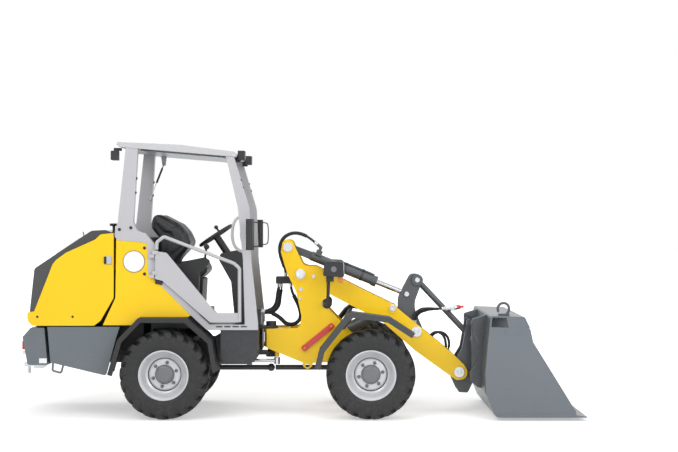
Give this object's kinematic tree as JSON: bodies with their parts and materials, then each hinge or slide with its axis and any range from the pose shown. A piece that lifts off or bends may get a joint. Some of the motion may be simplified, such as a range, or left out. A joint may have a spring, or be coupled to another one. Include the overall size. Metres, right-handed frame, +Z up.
{
  "type": "compact wheel loader",
  "caption": "Compact articulated wheel loader with an open canopy, loader boom, quick hitch and earth bucket; it steers, lifts, tilts, rolls and opens its hood and side gate.",
  "frame": {"origin": "centre of the footprint on the floor", "axes": "+X forward to the bucket, +Y to the operator's left, +Z up"},
  "size_m": [4.906, 1.43, 2.3545],
  "materials": {
    "yellow_paint": "gloss",
    "silver_paint": "satin",
    "grey_paint": "satin",
    "cast_grey": "satin",
    "dark_paint": "satin",
    "cast_engine": "matt",
    "black_plastic": "matt",
    "dark_plastic": "matt",
    "seat_cover": "matt",
    "lamp_housing": "gloss",
    "red_lens": "gloss",
    "red_paint": "gloss",
    "coupler_steel": "satin",
    "chrome": "polished",
    "pin_steel": "satin",
    "rim_paint": "gloss",
    "hose_rubber": "matt",
    "tyre": "matt"
  },
  "bodies": {
    "rear_frame": {"rear_chassis": "dark_paint", "rear_axle": "dark_paint", "engine_block": "cast_engine", "counterweight": "cast_grey", "tow_hitch": "coupler_steel", "tail_lamps": "red_lens", "lower_panels": "grey_paint", "side_covers": "yellow_paint", "rear_fenders": "black_plastic", "platform": "dark_plastic", "canopy_sides": "silver_paint", "canopy_roof": "silver_paint", "seat_base": "black_plastic", "seat_cushion": "seat_cover", "seat_backrest": "seat_cover", "dash_console": "black_plastic", "control_console": "black_plastic", "mirrors": "black_plastic", "work_lamps": "lamp_housing"},
    "hood": {"engine_hood": "yellow_paint", "hood_grille": "black_plastic"},
    "gate": {"side_gate": "silver_paint"},
    "steering": {"steering_wheel": "black_plastic"},
    "front_frame": {"front_chassis": "yellow_paint", "front_axle": "dark_paint", "front_fenders": "dark_plastic", "headlamps": "lamp_housing", "lock_bar": "red_paint", "hose_clamp": "black_plastic", "pivot_hoses": "hose_rubber", "tower_hoses": "hose_rubber"},
    "boom": {"boom": "yellow_paint", "nose_hoses": "hose_rubber"},
    "hitch_pin": {"hitch_pin": "pin_steel"},
    "hitch": {"quick_hitch": "dark_paint", "bucket": "grey_paint"},
    "lever_pin": {"lever_pin": "pin_steel"},
    "lever": {"tilt_lever": "dark_paint", "coupler_hoses": "hose_rubber"},
    "link_pin": {"link_pin": "pin_steel"},
    "link": {"tilt_link": "dark_paint", "hose_couplers": "coupler_steel"},
    "tilt_pin": {"tilt_pin": "pin_steel"},
    "tilt_barrel": {"tilt_barrel": "dark_paint"},
    "tilt_rod": {"tilt_rod": "chrome"},
    "lift_barrel": {"lift_barrel": "dark_paint"},
    "lift_rod": {"lift_rod": "chrome"},
    "steer_barrel": {"steer_barrel": "dark_paint"},
    "steer_rod": {"steer_rod": "chrome"},
    "wheel_fl": {"rim_fl": "rim_paint", "tyre_fl": "tyre"},
    "wheel_fr": {"rim_fr": "rim_paint", "tyre_fr": "tyre"},
    "wheel_rl": {"rim_rl": "rim_paint", "tyre_rl": "tyre"},
    "wheel_rr": {"rim_rr": "rim_paint", "tyre_rr": "tyre"}
  },
  "joints": [
    {"name": "articulation", "type": "hinge", "parent": "rear_frame", "child": "front_frame", "pos_m": [-0.238, 0, 0.632], "axis": [0, 0, 1], "range_deg": [-40, 40], "deforming": ["pivot_hoses"]},
    {"name": "boom_lift", "type": "hinge", "parent": "front_frame", "child": "boom", "pos_m": [0.028, 0, 1.219], "axis": [0, -1, 0], "range_deg": [0, 78]},
    {"name": "hitch_pin_turn", "type": "hinge", "parent": "boom", "child": "hitch_pin", "pos_m": [1.424, 0, 0.357], "axis": [0, -1, 0], "range_deg": [-78.65, 1]},
    {"name": "bucket_tilt", "type": "hinge", "parent": "hitch_pin", "child": "hitch", "pos_m": [1.424, 0, 0.357], "axis": [0, 1, 0], "range_deg": [-22, 38]},
    {"name": "lever_pin_turn", "type": "hinge", "parent": "boom", "child": "lever_pin", "pos_m": [1.047, 0, 0.712], "axis": [0, -1, 0], "range_deg": [-58.28, 1]},
    {"name": "lever_turn", "type": "hinge", "parent": "lever_pin", "child": "lever", "pos_m": [1.047, 0, 0.712], "axis": [0, 1, 0], "range_deg": [-17.68, 29.8]},
    {"name": "link_pin_turn", "type": "hinge", "parent": "lever", "child": "link_pin", "pos_m": [1.06, 0, 1.162], "axis": [0, -1, 0], "range_deg": [-1, 39.84], "deforming": ["coupler_hoses"]},
    {"name": "link_turn", "type": "hinge", "parent": "link_pin", "child": "link", "pos_m": [1.06, 0, 1.162], "axis": [0, 1, 0], "range_deg": [-22.03, 13.18]},
    {"name": "tilt_pin_turn", "type": "hinge", "parent": "front_frame", "child": "tilt_pin", "pos_m": [-0.082, 0, 1.455], "axis": [0, -1, 0], "range_deg": [-1, 75.9], "deforming": ["tower_hoses"]},
    {"name": "tilt_barrel_turn", "type": "hinge", "parent": "tilt_pin", "child": "tilt_barrel", "pos_m": [-0.082, 0, 1.455], "axis": [0, 1, 0], "range_deg": [-3.56, 2.48]},
    {"name": "tilt_rod_slide", "type": "slide", "parent": "tilt_barrel", "child": "tilt_rod", "axis": [0.9287, 0, -0.3709], "range_m": [-0.08861, 0.15161]},
    {"name": "lift_barrel_turn", "type": "hinge", "parent": "front_frame", "child": "lift_barrel", "pos_m": [0.012, 0, 0.52], "axis": [0, -1, 0], "range_deg": [-1, 47.6]},
    {"name": "lift_rod_slide", "type": "slide", "parent": "lift_barrel", "child": "lift_rod", "axis": [0.903, 0, 0.4296], "range_m": [-0.002, 0.66461]},
    {"name": "steer_barrel_turn", "type": "hinge", "parent": "rear_frame", "child": "steer_barrel", "pos_m": [-0.798, -0.15, 0.455], "axis": [0, 0, 1], "range_deg": [-4.24, 4.24]},
    {"name": "steer_rod_slide", "type": "slide", "parent": "steer_barrel", "child": "steer_rod", "axis": [0.9995, 0.0322, 0], "range_m": [-0.09048, 0.09048]},
    {"name": "hood_open", "type": "hinge", "parent": "rear_frame", "child": "hood", "pos_m": [-2.228, 0, 0.8], "axis": [0, -1, 0], "range_deg": [0, 55]},
    {"name": "gate_swing", "type": "hinge", "parent": "rear_frame", "child": "gate", "pos_m": [-1.209, -0.524, 1.3], "axis": [0, 0, -1], "range_deg": [0, 100]},
    {"name": "steering_wheel_turn", "type": "hinge", "parent": "rear_frame", "child": "steering", "pos_m": [-0.731, 0, 1.555], "axis": [-0.5489, 0, 0.8359], "continuous": true},
    {"name": "wheel_spin_fl", "type": "hinge", "parent": "front_frame", "child": "wheel_fl", "pos_m": [0.637, 0.483, 0.38], "axis": [0, 1, 0], "continuous": true},
    {"name": "wheel_spin_fr", "type": "hinge", "parent": "front_frame", "child": "wheel_fr", "pos_m": [0.637, -0.483, 0.38], "axis": [0, 1, 0], "continuous": true},
    {"name": "wheel_spin_rl", "type": "hinge", "parent": "rear_frame", "child": "wheel_rl", "pos_m": [-1.113, 0.483, 0.38], "axis": [0, 1, 0], "continuous": true},
    {"name": "wheel_spin_rr", "type": "hinge", "parent": "rear_frame", "child": "wheel_rr", "pos_m": [-1.113, -0.483, 0.38], "axis": [0, 1, 0], "continuous": true}
  ],
  "couplings": [
    {"joint": "hitch_pin_turn", "follows": "boom_lift", "ratio": -0.9955},
    {"joint": "lever_pin_turn", "follows": "boom_lift", "ratio": -0.7344},
    {"joint": "link_pin_turn", "follows": "boom_lift", "ratio": 0.49795},
    {"joint": "tilt_pin_turn", "follows": "boom_lift", "ratio": 0.96028},
    {"joint": "lift_barrel_turn", "follows": "boom_lift", "ratio": 0.59744},
    {"joint": "lift_rod_slide", "follows": "boom_lift", "m_per_rad": 0.48673},
    {"joint": "lever_turn", "follows": "bucket_tilt", "ratio": 0.758},
    {"joint": "link_turn", "follows": "bucket_tilt", "ratio": -0.55349},
    {"joint": "tilt_barrel_turn", "follows": "bucket_tilt", "ratio": -0.067363},
    {"joint": "tilt_rod_slide", "follows": "bucket_tilt", "m_per_rad": 0.22557},
    {"joint": "steer_barrel_turn", "follows": "articulation", "ratio": 0.080909},
    {"joint": "steer_rod_slide", "follows": "articulation", "m_per_rad": 0.12673}
  ]
}
